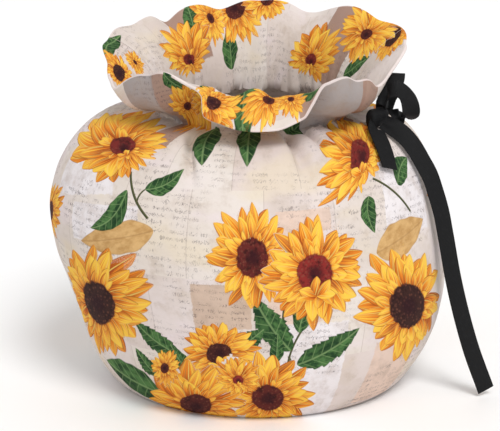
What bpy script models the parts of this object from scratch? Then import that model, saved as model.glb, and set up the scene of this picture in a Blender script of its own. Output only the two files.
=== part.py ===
"""Tea cosy: two gathered cloth panels with a frill above the tied neck, and a ribbon bow.

Sizes are in millimetres in the tables and are turned into metres as each mesh is made.
Z is up, the front looks along -Y, and an azimuth runs from the front towards +X, in degrees.
The cosy stands on its hem. The middle of its footprint, ribbon included, is the origin.
"""
import math

import bmesh
import bpy
import numpy as np
from mathutils import Matrix, Vector

MM = 0.001
CLOTH = 2.0           # thickness of the hemmed cloth
GAP = 0.3             # clearance between neighbouring pieces
AXIS_X = -8.5         # upright axis of the cosy, from the middle of the footprint
AXIS_Y = 0.0
NECK_RADIUS = 57.0    # where the ribbon channel draws the cloth in
NECK_HEIGHT = 155.0
NECK_BAND = 3.5       # upright stretch of cloth in the channel
SHOULDER = 12.0       # height of the flat part of the body just below the neck
NECK_SHARE = 0.35     # share of a fold's depth that is left as narrowing at the neck itself
SINK_SHARE = 0.5      # share of a fold's depth that sinks into the flat shoulder
SEAM = 104.0          # azimuth of the side seams, to either side
COLUMN_STEP = 3.6     # degrees of cloth between two columns of faces
FRILL_ROWS = 8
SHARP_EDGE = 50.0     # an edge bent by more degrees than this is shaded sharp

# Heights of the rows of faces on the body, below the neck.
ROW_HEIGHTS = (0.0, 4.0, 12.0, 24.0, 39.0, 55.0, 71.0, 82.0, 92.0, 102.0, 112.0, 121.0, 130.0, 138.0, 145.0, 150.0)

# Side profile of the body: height, radius at the left side, radius at the right side.
PROFILE = (
    (0.0, 76.3, 79.9),
    (4.0, 81.6, 85.4),
    (12.0, 88.0, 91.8),
    (24.0, 93.8, 98.6),
    (40.0, 98.9, 104.0),
    (60.0, 105.6, 106.8),
    (80.0, 112.2, 106.2),
    (100.0, 114.6, 103.6),
    (118.0, 111.0, 99.4),
    (132.0, 104.2, 93.4),
    (144.0, 93.4, 84.0),
    (151.0, 81.0, 71.5),
    (NECK_HEIGHT, NECK_RADIUS, NECK_RADIUS),
)

# Folds that run down from the gathered neck: azimuth, depth at the neck, reach down the body, half width.
FOLDS = (
    (-88.0, 3.2, 34.0, 6.0),
    (-66.0, 2.6, 46.0, 5.5),
    (-43.0, 3.4, 30.0, 6.0),
    (-26.0, 4.2, 70.0, 5.0),
    (-9.0, 2.2, 26.0, 5.0),
    (8.0, 2.4, 24.0, 4.5),
    (23.0, 5.0, 62.0, 6.0),
    (42.0, 4.6, 58.0, 5.0),
    (57.0, 3.0, 26.0, 4.5),
    (75.0, 3.6, 40.0, 5.5),
    (93.0, 3.4, 34.0, 5.0),
    (117.0, 3.8, 52.0, 6.5),
    (138.0, 3.0, 30.0, 5.5),
    (158.0, 4.4, 64.0, 6.0),
    (179.0, 2.8, 34.0, 5.5),
    (199.0, 4.2, 56.0, 6.5),
    (220.0, 3.0, 36.0, 5.0),
    (241.0, 3.8, 48.0, 6.0),
    (258.0, 3.2, 30.0, 5.0),
)

# Edge of the frill, a row for each lobe, dip and turn: azimuth, out and up from the neck, and arch.
# Arch is how far the cloth in between bulges up and in, or, below zero, down and out.
FRILL = (
    (-98.0, 28.0, 31.5, 5.0),
    (-84.0, 24.5, 23.5, 2.0),
    (-74.0, 25.0, 17.5, -1.5),
    (-66.0, 27.0, 16.5, -5.5),
    (-57.0, 25.0, 22.0, -7.0),
    (-46.0, 25.0, 28.5, -7.5),
    (-36.0, 27.5, 31.0, -4.5),
    (-27.0, 25.5, 27.5, 5.0),
    (-20.0, 26.5, 22.0, 9.0),
    (-17.0, 34.5, 12.5, 12.5),
    (-11.0, 29.5, 8.0, 12.5),
    (0.0, 30.0, 4.5, 17.5),
    (7.0, 29.0, 5.5, 13.0),
    (17.5, 28.5, 11.0, 11.0),
    (20.5, 29.0, 18.0, 9.0),
    (25.5, 29.0, 28.0, 0.0),
    (34.0, 26.0, 28.5, -7.5),
    (47.0, 22.5, 25.0, -8.0),
    (61.0, 20.5, 18.8, -5.0),
    (71.0, 19.5, 20.5, -2.5),
    (90.0, 26.5, 33.0, 3.5),
    (104.0, 28.0, 37.0, 4.0),
    (118.0, 22.0, 42.0, 4.0),
    (135.0, 16.0, 46.2, 4.0),
    (151.0, 17.0, 39.5, 7.0),
    (163.0, 18.0, 43.5, 5.0),
    (180.0, 21.0, 45.3, 4.0),
    (193.0, 24.5, 39.5, 7.0),
    (203.0, 21.5, 43.5, 5.0),
    (213.0, 20.5, 41.0, 5.0),
    (221.0, 23.0, 35.5, 7.5),
    (231.0, 21.5, 39.2, 6.0),
    (246.0, 25.5, 37.0, 6.0),
)

# Openings in the side seams: side, lowest and highest point, half width at the middle.
SLOTS = (
    ("left", 104.0, 150.0, 13.0),
    ("right", 74.0, 149.0, 10.0),
)

RIBBON_WIDTH = 10.0
RIBBON_THICKNESS = 1.0
RIBBON_PINCH = 0.55   # share of the ribbon's width where the knot draws it together
PINCH_REACH = 9.0     # length over which the ribbon opens out again
KNOT_AT = (65.4, -34.6, 155.1)
KNOT_SIZE = (12.5, 7.0, 8.6)
KNOT_FACES = 50.0     # azimuth that the knot's broad side looks to

# Routes of the tails, from the knot to the cut end: x, y, height, azimuth that the ribbon's face looks to.
LONG_TAIL = (
    (68.6, -37.0, 153.0, 42.0),
    (72.4, -39.4, 151.5, 36.0),
    (76.6, -40.9, 149.1, 32.0),
    (81.3, -42.0, 145.0, 30.0),
    (85.7, -42.9, 139.2, 30.0),
    (89.5, -43.6, 132.7, 30.0),
    (93.3, -44.0, 125.8, 30.0),
    (96.8, -44.4, 116.0, 30.0),
    (99.9, -44.6, 105.6, 30.0),
    (102.8, -44.6, 91.6, 30.0),
    (107.4, -44.2, 67.8, 29.0),
    (113.4, -43.6, 43.6, 28.0),
    (118.2, -43.2, 27.5, 27.0),
    (127.1, -43.0, 3.4, 26.0),
)
SHORT_TAIL = (
    (62.7, -41.0, 153.1, 32.0),
    (63.4, -45.0, 151.9, 29.0),
    (65.2, -50.0, 148.8, 28.0),
    (67.6, -56.0, 143.8, 29.0),
    (69.6, -62.0, 138.0, 30.0),
    (70.4, -65.5, 134.4, 30.0),
)

# Routes of the bow loops, out of the knot and back: x, y, height, then the direction of the ribbon's width,
# turned from +X to +Y and tilted up.
BOW_LOOP = (
    (70.6, -29.2, 159.4, 75.0, 0.0),
    (70.8, -29.8, 164.0, 78.0, 20.0),
    (72.4, -30.8, 168.6, 85.0, 42.0),
    (75.6, -31.2, 170.2, 80.0, 48.0),
    (79.2, -31.4, 168.4, 60.0, 36.0),
    (82.0, -31.2, 164.6, 35.0, 20.0),
    (83.6, -30.6, 159.6, 18.0, 8.0),
    (83.6, -28.6, 155.0, 12.0, 0.0),
    (81.6, -26.4, 153.0, 14.0, 0.0),
    (78.4, -26.4, 153.2, 26.0, 0.0),
    (75.0, -28.4, 154.0, 48.0, 0.0),
    (72.8, -30.0, 154.8, 62.0, 0.0),
)
TOP_LOOP = (
    (68.8, -26.0, 159.4, 25.0, 0.0),
    (71.4, -21.8, 163.4, 12.0, 0.0),
    (74.6, -17.0, 168.4, 2.0, 0.0),
    (76.4, -13.0, 172.6, -5.0, 0.0),
    (76.6, -10.4, 174.2, -8.0, 0.0),
    (76.2, -8.6, 172.6, -10.0, 0.0),
    (74.6, -10.4, 167.8, -8.0, 0.0),
    (72.0, -15.0, 162.4, 0.0, 0.0),
    (70.0, -21.5, 158.0, 15.0, 0.0),
    (70.0, -26.4, 156.4, 30.0, 0.0),
)


def remove_all_objects():
    for obj in list(bpy.data.objects):
        bpy.data.objects.remove(obj, do_unlink=True)


def smooth_step(t):
    t = np.clip(t, 0.0, 1.0)
    return t * t * (3.0 - 2.0 * t)


def hermite(knots, values, at):
    """Smooth curve through the values that doesn't swing past them."""
    knots = np.asarray(knots, float)
    values = np.asarray(values, float)
    step = np.diff(knots)
    slope = np.diff(values) / step
    tangent = np.empty_like(values)
    tangent[0] = slope[0]
    tangent[-1] = slope[-1]
    for i in range(1, len(values) - 1):
        before, after = slope[i - 1], slope[i]
        if before * after <= 0.0:
            tangent[i] = 0.0
        else:
            w_before = 2.0 * step[i] + step[i - 1]
            w_after = step[i] + 2.0 * step[i - 1]
            tangent[i] = (w_before + w_after) / (w_before / before + w_after / after)
    at = np.asarray(at, float)
    k = np.clip(np.searchsorted(knots, at, side="right") - 1, 0, len(step) - 1)
    h = step[k]
    t = (at - knots[k]) / h
    rise = t * t * (3.0 - 2.0 * t)
    return (
        values[k] * (1.0 - rise)
        + values[k + 1] * rise
        + h * tangent[k] * t * (1.0 - t) ** 2
        - h * tangent[k + 1] * t * t * (1.0 - t)
    )


def around(table, column, azimuth):
    """A column of a table whose first column is an azimuth, read at any azimuth."""
    angles = np.array([row[0] for row in table])
    values = np.array([row[column] for row in table])
    angles = np.concatenate([angles[-3:] - 360.0, angles, angles[:3] + 360.0])
    values = np.concatenate([values[-3:], values, values[:3]])
    azimuth = (np.asarray(azimuth, float) - table[0][0]) % 360.0 + table[0][0]
    return hermite(angles, values, azimuth)


PROFILE_LENGTH = np.concatenate(
    [
        [0.0],
        np.cumsum(
            [
                math.hypot(b[0] - a[0], (b[1] + b[2] - a[1] - a[2]) / 2.0)
                for a, b in zip(PROFILE, PROFILE[1:])
            ]
        ),
    ]
)
BODY_LENGTH = float(PROFILE_LENGTH[-1])


def fold_depth(azimuth, from_neck):
    """How far the folds pull the cloth in, at a distance below the neck."""
    depth = 0.0
    for middle, deepest, reach, half_width in FOLDS:
        off = (azimuth - middle + 180.0) % 360.0 - 180.0
        spread = half_width * (1.0 + 0.8 * from_neck / reach)
        fade = 1.0 - smooth_step(from_neck / reach)
        depth = depth + deepest * fade * np.exp(-((off / spread) ** 2))
    return depth


def cloth_point(azimuth, along):
    """Outer face of the cloth: along runs from 0 at the hem to 1 at the neck, and to 2 at the frill's edge."""
    azimuth = np.asarray(azimuth, float)
    along = np.asarray(along, float)
    turn = np.radians(azimuth)
    length = np.clip(along, 0.0, 1.0) * BODY_LENGTH
    height = hermite(PROFILE_LENGTH, [row[0] for row in PROFILE], length)
    left = hermite(PROFILE_LENGTH, [row[1] for row in PROFILE], length)
    right = hermite(PROFILE_LENGTH, [row[2] for row in PROFILE], length)
    radius = (left + right) / 2.0 + (right - left) / 2.0 * np.sin(turn)
    depth = fold_depth(azimuth, BODY_LENGTH - length)
    steep = np.clip((NECK_HEIGHT - height) / SHOULDER, 0.0, 1.0)
    radius = radius - depth * (NECK_SHARE + (1.0 - NECK_SHARE) * steep)
    height = height - depth * (1.0 - steep) * SINK_SHARE

    up_frill = np.clip(along - 1.0, 0.0, 1.0)
    out = around(FRILL, 1, azimuth)
    up = around(FRILL, 2, azimuth)
    arch = around(FRILL, 3, azimuth)
    chord = np.hypot(out, up)
    bow = arch * 4.0 * up_frill * (1.0 - up_frill)
    band = NECK_BAND * np.clip(up_frill * FRILL_ROWS, 0.0, 1.0)
    radius = radius + out * up_frill - bow * up / chord
    height = height + up * up_frill + bow * out / chord + band * (1.0 - up_frill)
    return np.stack([AXIS_X + radius * np.sin(turn), AXIS_Y - radius * np.cos(turn), height], axis=-1)


def cloth_normal(azimuth, along):
    """Outward direction of the cloth, the same on both sides of a seam."""
    near = 0.6
    small = 0.012
    low = np.maximum(along - small, 0.0)
    high = np.minimum(along + small, 2.0)
    across = cloth_point(azimuth + near, along) - cloth_point(azimuth - near, along)
    upward = cloth_point(azimuth, high) - cloth_point(azimuth, low)
    normal = np.cross(across, upward)
    return normal / np.linalg.norm(normal, axis=-1, keepdims=True)


def slot_half_angle(side, along):
    """Half the opening of a side seam, in degrees, at each row of the cloth."""
    azimuth = -SEAM if side == "left" else SEAM
    point = cloth_point(np.full_like(along, azimuth), along)
    radius = np.hypot(point[..., 0] - AXIS_X, point[..., 1] - AXIS_Y)
    half = np.full_like(along, GAP / 2.0)
    for name, lowest, highest, widest in SLOTS:
        if name == side:
            t = np.clip((point[..., 2] - lowest) / (highest - lowest), 0.0, 1.0)
            opening = widest * np.sin(math.pi * t) ** 0.8
            half = half + np.where(along < 1.0, opening, 0.0)
    return np.degrees(half / radius)


def row_places():
    """Rows of the cloth, from the hem to the frill's edge."""
    length = hermite([row[0] for row in PROFILE], PROFILE_LENGTH, ROW_HEIGHTS)
    body = list(length / BODY_LENGTH) + [1.0]
    frill = [1.0 + (k + 1.0) / FRILL_ROWS for k in range(FRILL_ROWS)]
    return np.array(body + frill)


def build_panel(name, first, last, material):
    """One cloth panel between two azimuths, as a closed sheet of even thickness standing on a flat hem."""
    along = row_places()
    if name == "front_panel":
        start = first + slot_half_angle("left", along)
        end = last - slot_half_angle("right", along)
    else:
        start = first + slot_half_angle("right", along)
        end = last - slot_half_angle("left", along)
    columns = int(round((last - first) / COLUMN_STEP))
    share = np.linspace(0.0, 1.0, columns + 1)
    azimuth = start[:, None] * (1.0 - share) + end[:, None] * share
    rows = np.repeat(along[:, None], columns + 1, axis=1)
    outer = cloth_point(azimuth, rows)
    inward = -CLOTH * cloth_normal(azimuth, rows)
    inner = outer + inward
    # The hem is trimmed level: its inner edge runs on down the cloth to the height of the outer edge.
    run = (outer[0, :, 2] - inner[0, :, 2]) / (inner[0, :, 2] - inner[1, :, 2])
    inner[0] = inner[0] + (inner[0] - inner[1]) * run[:, None]
    inner[0, :, 2] = outer[0, :, 2]

    mesh = bmesh.new()
    outer_verts = [[mesh.verts.new(Vector(p) * MM) for p in line] for line in outer]
    inner_verts = [[mesh.verts.new(Vector(p) * MM) for p in line] for line in inner]
    last_row = len(along) - 1
    for j in range(last_row):
        for i in range(columns):
            a, b = outer_verts[j][i], outer_verts[j][i + 1]
            c, d = outer_verts[j + 1][i + 1], outer_verts[j + 1][i]
            mesh.faces.new((a, b, c, d))
            a, b = inner_verts[j][i], inner_verts[j][i + 1]
            c, d = inner_verts[j + 1][i + 1], inner_verts[j + 1][i]
            mesh.faces.new((d, c, b, a))
    for i in range(columns):
        mesh.faces.new((inner_verts[0][i], inner_verts[0][i + 1], outer_verts[0][i + 1], outer_verts[0][i]))
        mesh.faces.new(
            (outer_verts[last_row][i], outer_verts[last_row][i + 1],
             inner_verts[last_row][i + 1], inner_verts[last_row][i])
        )
    for j in range(last_row):
        mesh.faces.new((outer_verts[j][0], outer_verts[j + 1][0], inner_verts[j + 1][0], inner_verts[j][0]))
        mesh.faces.new(
            (inner_verts[j][columns], inner_verts[j + 1][columns],
             outer_verts[j + 1][columns], outer_verts[j][columns])
        )
    return finish_object(name, mesh, material)


def finish_object(name, mesh, material):
    bmesh.ops.recalc_face_normals(mesh, faces=mesh.faces[:])
    data = bpy.data.meshes.new(name)
    mesh.to_mesh(data)
    mesh.free()
    data.shade_smooth()
    data.set_sharp_from_angle(angle=math.radians(SHARP_EDGE))
    data.materials.append(material)
    obj = bpy.data.objects.new(name, data)
    bpy.context.collection.objects.link(obj)
    return obj


def smooth_route(rows, count):
    """Points and face azimuths on a smooth curve through the rows of a ribbon's route."""
    rows = np.array(rows, float)
    reach = np.concatenate([[0.0], np.cumsum(np.linalg.norm(np.diff(rows[:, :3], axis=0), axis=1))])
    tangent = np.gradient(rows, reach, axis=0)
    at = np.linspace(0.0, reach[-1], count)
    k = np.clip(np.searchsorted(reach, at, side="right") - 1, 0, len(reach) - 2)
    h = (reach[k + 1] - reach[k])[:, None]
    t = ((at - reach[k])[:, None]) / h
    rise = t * t * (3.0 - 2.0 * t)
    return (
        rows[k] * (1.0 - rise)
        + rows[k + 1] * rise
        + h * tangent[k] * t * (1.0 - t) ** 2
        - h * tangent[k + 1] * t * t * (1.0 - t)
    )


def azimuth_vector(azimuth):
    turn = math.radians(azimuth)
    return Vector((math.sin(turn), -math.cos(turn), 0.0))


def build_ribbon(name, points, across, ends_in_knot, material):
    """A flat ribbon along its route. Across gives its width's direction at each point."""
    mesh = bmesh.new()
    sections = []
    last = len(points) - 1
    whole = sum((b - a).length for a, b in zip(points, points[1:]))
    reach = 0.0
    for i, point in enumerate(points):
        reach += (point - points[max(i - 1, 0)]).length
        from_knot = min(reach, whole - reach) if ends_in_knot == 2 else reach
        width = RIBBON_WIDTH * (RIBBON_PINCH + (1.0 - RIBBON_PINCH) * float(smooth_step(from_knot / PINCH_REACH)))
        heading = (points[min(i + 1, last)] - points[max(i - 1, 0)]).normalized()
        side = (across[i] - heading * across[i].dot(heading)).normalized()
        face = side.cross(heading)
        middle = point + Vector((AXIS_X, AXIS_Y, 0.0))
        corners = []
        for wide, deep in ((-0.5, -0.5), (0.5, -0.5), (0.5, 0.5), (-0.5, 0.5)):
            corner = middle + side * wide * width + face * deep * RIBBON_THICKNESS
            corners.append(mesh.verts.new(corner * MM))
        sections.append(corners)
    for one, two in zip(sections, sections[1:]):
        for k in range(4):
            mesh.faces.new((one[k], one[(k + 1) % 4], two[(k + 1) % 4], two[k]))
    mesh.faces.new(sections[0][::-1])
    mesh.faces.new(sections[-1])
    return finish_object(name, mesh, material)


def build_tail(name, rows, count, material):
    route = smooth_route(rows, count)
    points = [Vector(p[:3]) for p in route]
    across = []
    for i in range(count):
        heading = points[min(i + 1, count - 1)] - points[max(i - 1, 0)]
        across.append(heading.cross(azimuth_vector(route[i, 3])).normalized())
    return build_ribbon(name, points, across, 1, material)


def build_loop(name, rows, count, material):
    """A loop of the bow, whose width keeps its own direction while the ribbon turns over."""
    route = smooth_route(rows, count)
    points = [Vector(p[:3]) for p in route]
    across = []
    for row in route:
        turn, tilt = math.radians(row[3]), math.radians(row[4])
        across.append(Vector((math.cos(turn) * math.cos(tilt), math.sin(turn) * math.cos(tilt), math.sin(tilt))))
    return build_ribbon(name, points, across, 2, material)


def build_knot(name, material):
    """The tight knot of the bow, a small rounded block."""
    mesh = bmesh.new()
    bmesh.ops.create_cube(mesh, size=1.0)
    bmesh.ops.subdivide_edges(mesh, edges=mesh.edges[:], cuts=3, use_grid_fill=True)
    for vert in mesh.verts:
        squareness = max(abs(c) for c in vert.co) * 2.0
        round_co = vert.co.normalized() * 0.5 * squareness
        vert.co = vert.co.lerp(round_co, 0.65)
    place = (
        Matrix.Translation(Vector((KNOT_AT[0] + AXIS_X, KNOT_AT[1] + AXIS_Y, KNOT_AT[2])) * MM)
        @ Matrix.Rotation(math.radians(KNOT_FACES), 4, "Z")
        @ Matrix.Diagonal((*(Vector(KNOT_SIZE) * MM), 1.0))
    )
    bmesh.ops.transform(mesh, matrix=place, verts=mesh.verts[:])
    return finish_object(name, mesh, material)


def cloth_material():
    material = bpy.data.materials.new("printed_cotton")
    material.use_nodes = True
    shader = material.node_tree.nodes["Principled BSDF"]
    shader.inputs["Base Color"].default_value = (0.84, 0.76, 0.70, 1.0)
    shader.inputs["Roughness"].default_value = 0.85
    shader.inputs["Metallic"].default_value = 0.0
    return material


def ribbon_material():
    material = bpy.data.materials.new("black_ribbon")
    material.use_nodes = True
    shader = material.node_tree.nodes["Principled BSDF"]
    shader.inputs["Base Color"].default_value = (0.012, 0.012, 0.014, 1.0)
    shader.inputs["Roughness"].default_value = 0.6
    shader.inputs["Metallic"].default_value = 0.0
    return material


remove_all_objects()
cotton = cloth_material()
ribbon = ribbon_material()
build_panel("front_panel", -SEAM, SEAM, cotton)
build_panel("back_panel", SEAM, 360.0 - SEAM, cotton)
build_knot("tie_knot", ribbon)
build_loop("tie_bow_loop", BOW_LOOP, 28, ribbon)
build_loop("tie_top_loop", TOP_LOOP, 24, ribbon)
build_tail("tie_short_tail", SHORT_TAIL, 12, ribbon)
build_tail("tie_long_tail", LONG_TAIL, 34, ribbon)
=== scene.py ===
import math

import bpy
import numpy as np
from mathutils import Matrix, Vector


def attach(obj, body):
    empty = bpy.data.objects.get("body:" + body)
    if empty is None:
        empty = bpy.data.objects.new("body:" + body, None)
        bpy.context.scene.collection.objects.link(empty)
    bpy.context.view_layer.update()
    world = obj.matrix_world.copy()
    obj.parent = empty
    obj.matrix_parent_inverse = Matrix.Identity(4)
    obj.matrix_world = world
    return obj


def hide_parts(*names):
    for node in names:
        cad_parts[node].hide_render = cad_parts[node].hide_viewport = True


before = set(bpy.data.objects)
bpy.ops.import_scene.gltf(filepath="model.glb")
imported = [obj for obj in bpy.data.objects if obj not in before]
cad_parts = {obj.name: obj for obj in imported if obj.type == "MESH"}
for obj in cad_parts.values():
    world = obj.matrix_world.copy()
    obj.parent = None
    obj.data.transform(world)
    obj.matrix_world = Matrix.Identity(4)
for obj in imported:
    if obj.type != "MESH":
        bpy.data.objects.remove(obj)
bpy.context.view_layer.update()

bpy.ops.object.select_all(action="DESELECT")

# Camera, light and table top. The cosy stands on a pale studio table, seen from a little above its front,
# under one wide soft light high at the right of the front, in a white room.
AXIS_X = -8.5          # upright axis of the cosy, in millimetres as all sizes here
VIEW_CENTRE = (AXIS_X - 2.9, 0.0, 91.4)
VIEW_DISTANCE = 1200.0
VIEW_DOWN = 15.0       # degrees

camera_data = bpy.data.cameras.new("camera")
camera_data.sensor_width = 36.0
camera_data.lens = 154.3
camera = bpy.data.objects.new("camera", camera_data)
bpy.context.scene.collection.objects.link(camera)
down = math.radians(VIEW_DOWN)
back_off = Vector((0.0, -math.cos(down), math.sin(down))) * VIEW_DISTANCE
camera.location = (Vector(VIEW_CENTRE) + back_off) * 0.001
camera.rotation_euler = (math.pi / 2.0 - down, 0.0, 0.0)
bpy.context.scene.camera = camera

bpy.ops.mesh.primitive_plane_add(size=6.0, location=(0.0, 0.0, 0.0))
table_top = bpy.context.active_object
table_top.name = "table_top"
table_paint = bpy.data.materials.new("table white")
table_paint.use_nodes = True
table_shader = table_paint.node_tree.nodes["Principled BSDF"]
table_shader.inputs["Base Color"].default_value = (0.97, 0.97, 0.97, 1.0)
table_shader.inputs["Roughness"].default_value = 0.55
table_top.data.materials.append(table_paint)

studio = bpy.data.worlds.new("studio")
studio.use_nodes = True
studio.node_tree.nodes["Background"].inputs["Color"].default_value = (1.0, 1.0, 1.0, 1.0)
studio.node_tree.nodes["Background"].inputs["Strength"].default_value = 0.68
bpy.context.scene.world = studio
bpy.context.scene.view_settings.view_transform = "Standard"

softbox = bpy.data.lights.new("large_softbox", "SUN")
softbox.energy = 1.75
softbox.angle = math.radians(22.0)
softbox_stand = bpy.data.objects.new("large_softbox", softbox)
bpy.context.scene.collection.objects.link(softbox_stand)
softbox_stand.location = (0.0, 0.0, 1.0)
softbox_stand.rotation_euler = Vector((-0.24, 0.62, -0.85)).to_track_quat("-Z", "Y").to_euler()


# Front panel. Two layers of printed cotton, cut to a wide bell, hemmed below and above, sewn to the back
# panel down both sides, drawn in at the neck by the ribbon and left standing above it as a loose frill.
CLOTH = 1.7            # thickness
NECK_RADIUS = 57.0
NECK_HEIGHT = 155.0
NECK_BAND = 3.5        # height of the ribbon's channel
BAND_SHARE = 1.0 / 8.0   # share of the frill over which the channel is reached
SHOULDER = 12.0        # height over which the cloth turns in to the neck
NECK_SHARE = 0.35      # share of a fold's depth that still goes inwards at the neck
SINK_SHARE = 0.5       # share of it that goes down there
SEAM = 104.0           # azimuth of the side seams, from the front towards either side
SEAM_GAP = 0.3
FOLD_SPREAD = 0.8      # how much wider a fold grows on its way down
STEP_ROUND, STEP_ALONG = 0.6, 0.012     # steps over which the cloth's direction is measured

# Side profile of the body: height, radius at the left side, radius at the right side.
PROFILE = (
    (0.0, 76.3, 79.9),
    (4.0, 81.6, 85.4),
    (12.0, 88.0, 91.8),
    (24.0, 93.8, 98.6),
    (40.0, 98.9, 104.0),
    (60.0, 105.6, 106.8),
    (80.0, 112.2, 106.2),
    (100.0, 114.6, 103.6),
    (118.0, 111.0, 99.4),
    (132.0, 104.2, 93.4),
    (144.0, 93.4, 84.0),
    (151.0, 81.0, 71.5),
    (NECK_HEIGHT, NECK_RADIUS, NECK_RADIUS),
)

# Folds that run down from the gathered neck: azimuth, depth at the neck, reach down the body, half width.
FOLDS = (
    (-88.0, 3.2, 34.0, 6.0),
    (-66.0, 2.6, 46.0, 5.5),
    (-43.0, 3.4, 30.0, 6.0),
    (-26.0, 4.2, 70.0, 5.0),
    (-9.0, 2.2, 26.0, 5.0),
    (8.0, 2.4, 24.0, 4.5),
    (23.0, 5.0, 62.0, 6.0),
    (42.0, 4.6, 58.0, 5.0),
    (57.0, 3.0, 26.0, 4.5),
    (75.0, 3.6, 40.0, 5.5),
    (93.0, 3.4, 34.0, 5.0),
    (117.0, 3.8, 52.0, 6.5),
    (138.0, 3.0, 30.0, 5.5),
    (158.0, 4.4, 64.0, 6.0),
    (179.0, 2.8, 34.0, 5.5),
    (199.0, 4.2, 56.0, 6.5),
    (220.0, 3.0, 36.0, 5.0),
    (241.0, 3.8, 48.0, 6.0),
    (258.0, 3.2, 30.0, 5.0),
)

# Edge of the frill: azimuth, out and up from the neck, and how far the cloth in between bulges.
FRILL = (
    (-98.0, 28.0, 31.5, 5.0),
    (-84.0, 24.5, 23.5, 2.0),
    (-74.0, 25.0, 17.5, -1.5),
    (-66.0, 27.0, 16.5, -5.5),
    (-57.0, 25.0, 22.0, -7.0),
    (-46.0, 25.0, 28.5, -7.5),
    (-36.0, 27.5, 31.0, -4.5),
    (-27.0, 25.5, 27.5, 5.0),
    (-20.0, 26.5, 22.0, 9.0),
    (-17.0, 34.5, 12.5, 12.5),
    (-11.0, 29.5, 8.0, 12.5),
    (0.0, 30.0, 4.5, 17.5),
    (7.0, 29.0, 5.5, 13.0),
    (17.5, 28.5, 11.0, 11.0),
    (20.5, 29.0, 18.0, 9.0),
    (25.5, 29.0, 28.0, 0.0),
    (34.0, 26.0, 28.5, -7.5),
    (47.0, 22.5, 25.0, -8.0),
    (61.0, 20.5, 18.8, -5.0),
    (71.0, 19.5, 20.5, -2.5),
    (90.0, 26.5, 33.0, 3.5),
    (104.0, 28.0, 37.0, 4.0),
    (118.0, 22.0, 42.0, 4.0),
    (135.0, 16.0, 46.2, 4.0),
    (151.0, 17.0, 39.5, 7.0),
    (163.0, 18.0, 43.5, 5.0),
    (180.0, 21.0, 45.3, 4.0),
    (193.0, 24.5, 39.5, 7.0),
    (203.0, 21.5, 43.5, 5.0),
    (213.0, 20.5, 41.0, 5.0),
    (221.0, 23.0, 35.5, 7.5),
    (231.0, 21.5, 39.2, 6.0),
    (246.0, 25.5, 37.0, 6.0),
)

# Openings in the side seams: side, lowest and highest point, half width at the middle.
SLOTS = (
    ("left", 104.0, 150.0, 13.0),
    ("right", 74.0, 149.0, 10.0),
)


def smooth_step(t):
    t = np.clip(t, 0.0, 1.0)
    return t * t * (3.0 - 2.0 * t)


def curve(knots, values, slopes, at):
    """Smooth curve through the values, with a slope given at each."""
    k = np.clip(np.searchsorted(knots, at, side="right") - 1, 0, len(knots) - 2)
    h = knots[k + 1] - knots[k]
    t = (at - knots[k]) / h
    rise = t * t * (3.0 - 2.0 * t)
    return (
        values[k] * (1.0 - rise)
        + values[k + 1] * rise
        + h * slopes[k] * t * (1.0 - t) ** 2
        - h * slopes[k + 1] * t * t * (1.0 - t)
    )


def steady_curve(knots, values, at):
    """Smooth curve through the values that doesn't swing past them."""
    step = np.diff(knots)
    slope = np.diff(values) / step
    tangent = np.zeros_like(values)
    tangent[0] = slope[0]
    tangent[-1] = slope[-1]
    for i in range(1, len(values) - 1):
        before, after = slope[i - 1], slope[i]
        if before * after > 0.0:
            w_before = 2.0 * step[i] + step[i - 1]
            w_after = step[i] + 2.0 * step[i - 1]
            tangent[i] = (w_before + w_after) / (w_before / before + w_after / after)
    return curve(knots, values, tangent, at)


profile = np.array(PROFILE)
profile_steps = np.hypot(np.diff(profile[:, 0]), np.diff(profile[:, 1] + profile[:, 2]) / 2.0)
profile_length = np.concatenate([[0.0], np.cumsum(profile_steps)])
BODY_LENGTH = float(profile_length[-1])
frill = np.array(FRILL)
full_turn = (360.0, 0.0, 0.0, 0.0)
frill = np.concatenate([frill[-3:] - full_turn, frill, frill[:3] + full_turn])


def frill_edge(azimuth):
    azimuth = (azimuth - FRILL[0][0]) % 360.0 + FRILL[0][0]
    return [steady_curve(frill[:, 0], column, azimuth) for column in frill.T[1:]]


def fold_depth(azimuth, from_neck):
    depth = 0.0
    for middle, deepest, reach, half_width in FOLDS:
        off = (azimuth - middle + 180.0) % 360.0 - 180.0
        spread = half_width * (1.0 + FOLD_SPREAD * from_neck / reach)
        fade = 1.0 - smooth_step(from_neck / reach)
        depth = depth + deepest * fade * np.exp(-((off / spread) ** 2))
    return depth


def cloth_point(azimuth, along):
    """Outer face: along runs from 0 at the hem to 1 at the neck, and to 2 at the frill's edge."""
    turn = np.radians(azimuth)
    length = np.clip(along, 0.0, 1.0) * BODY_LENGTH
    height, left, right = (steady_curve(profile_length, column, length) for column in profile.T)
    radius = (left + right) / 2.0 + (right - left) / 2.0 * np.sin(turn)
    depth = fold_depth(azimuth, BODY_LENGTH - length)
    steep = np.clip((NECK_HEIGHT - height) / SHOULDER, 0.0, 1.0)
    radius = radius - depth * (NECK_SHARE + (1.0 - NECK_SHARE) * steep)
    height = height - depth * (1.0 - steep) * SINK_SHARE
    up_frill = np.clip(along - 1.0, 0.0, 1.0)
    out, up, arch = frill_edge(azimuth)
    chord = np.hypot(out, up)
    bow = arch * 4.0 * up_frill * (1.0 - up_frill)
    band = NECK_BAND * np.clip(up_frill / BAND_SHARE, 0.0, 1.0)
    radius = radius + out * up_frill - bow * up / chord
    height = height + up * up_frill + bow * out / chord + band * (1.0 - up_frill)
    return np.stack([AXIS_X + radius * np.sin(turn), -radius * np.cos(turn), height], axis=-1)


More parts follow.
